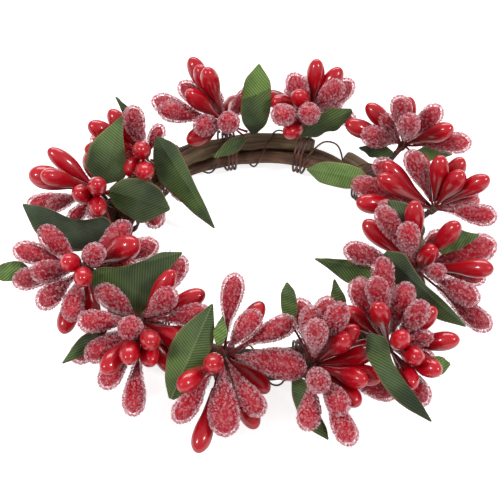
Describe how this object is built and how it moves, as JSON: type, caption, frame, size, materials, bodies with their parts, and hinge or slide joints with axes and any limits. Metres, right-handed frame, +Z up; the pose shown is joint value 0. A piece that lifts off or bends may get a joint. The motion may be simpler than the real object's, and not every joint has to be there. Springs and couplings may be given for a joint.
{
  "type": "candle ring",
  "caption": "Artificial berry candle ring: a bound vine ring with wired picks of smooth and sugared red berries and ribbed cloth leaves round an open middle for a pillar candle.",
  "frame": {"origin": "on the axis of the candle opening, in the plane of the table that the ring stands on", "axes": "+Z up along the axis of the opening, -Y towards the front as pictured, +X to the right"},
  "size_m": [0.1668, 0.1685, 0.0459],
  "materials": {
    "smooth_berry": "glossy lacquer",
    "sugared_berry": "coated with clear micro beads",
    "leaf_cloth": "stiffened ribbed cloth",
    "stem_wire": "paper-wrapped wire",
    "binding_wire": "dark brown covered wire",
    "vine": "dry bark"
  },
  "bodies": {
    "root": {"vine_strand_1": "vine", "vine_strand_2": "vine", "vine_strand_3": "vine", "binding_wires": "binding_wire", "pick_01_smooth_berries": "smooth_berry", "pick_01_sugared_berries": "sugared_berry", "pick_01_leaves": "leaf_cloth", "pick_01_stems": "stem_wire", "pick_02_smooth_berries": "smooth_berry", "pick_02_sugared_berries": "sugared_berry", "pick_02_leaves": "leaf_cloth", "pick_02_stems": "stem_wire", "pick_03_smooth_berries": "smooth_berry", "pick_03_sugared_berries": "sugared_berry", "pick_03_leaves": "leaf_cloth", "pick_03_stems": "stem_wire", "pick_04_smooth_berries": "smooth_berry", "pick_04_sugared_berries": "sugared_berry", "pick_04_leaves": "leaf_cloth", "pick_04_stems": "stem_wire", "pick_05_smooth_berries": "smooth_berry", "pick_05_sugared_berries": "sugared_berry", "pick_05_leaves": "leaf_cloth", "pick_05_stems": "stem_wire", "pick_06_smooth_berries": "smooth_berry", "pick_06_sugared_berries": "sugared_berry", "pick_06_leaves": "leaf_cloth", "pick_06_stems": "stem_wire", "pick_07_smooth_berries": "smooth_berry", "pick_07_sugared_berries": "sugared_berry", "pick_07_leaves": "leaf_cloth", "pick_07_stems": "stem_wire", "pick_08_smooth_berries": "smooth_berry", "pick_08_sugared_berries": "sugared_berry", "pick_08_leaves": "leaf_cloth", "pick_08_stems": "stem_wire", "pick_09_smooth_berries": "smooth_berry", "pick_09_sugared_berries": "sugared_berry", "pick_09_leaves": "leaf_cloth", "pick_09_stems": "stem_wire", "pick_10_smooth_berries": "smooth_berry", "pick_10_sugared_berries": "sugared_berry", "pick_10_leaves": "leaf_cloth", "pick_10_stems": "stem_wire", "pick_11_smooth_berries": "smooth_berry", "pick_11_sugared_berries": "sugared_berry", "pick_11_leaves": "leaf_cloth", "pick_11_stems": "stem_wire", "pick_12_smooth_berries": "smooth_berry", "pick_12_sugared_berries": "sugared_berry", "pick_12_leaves": "leaf_cloth", "pick_12_stems": "stem_wire"}
  },
  "joints": []
}
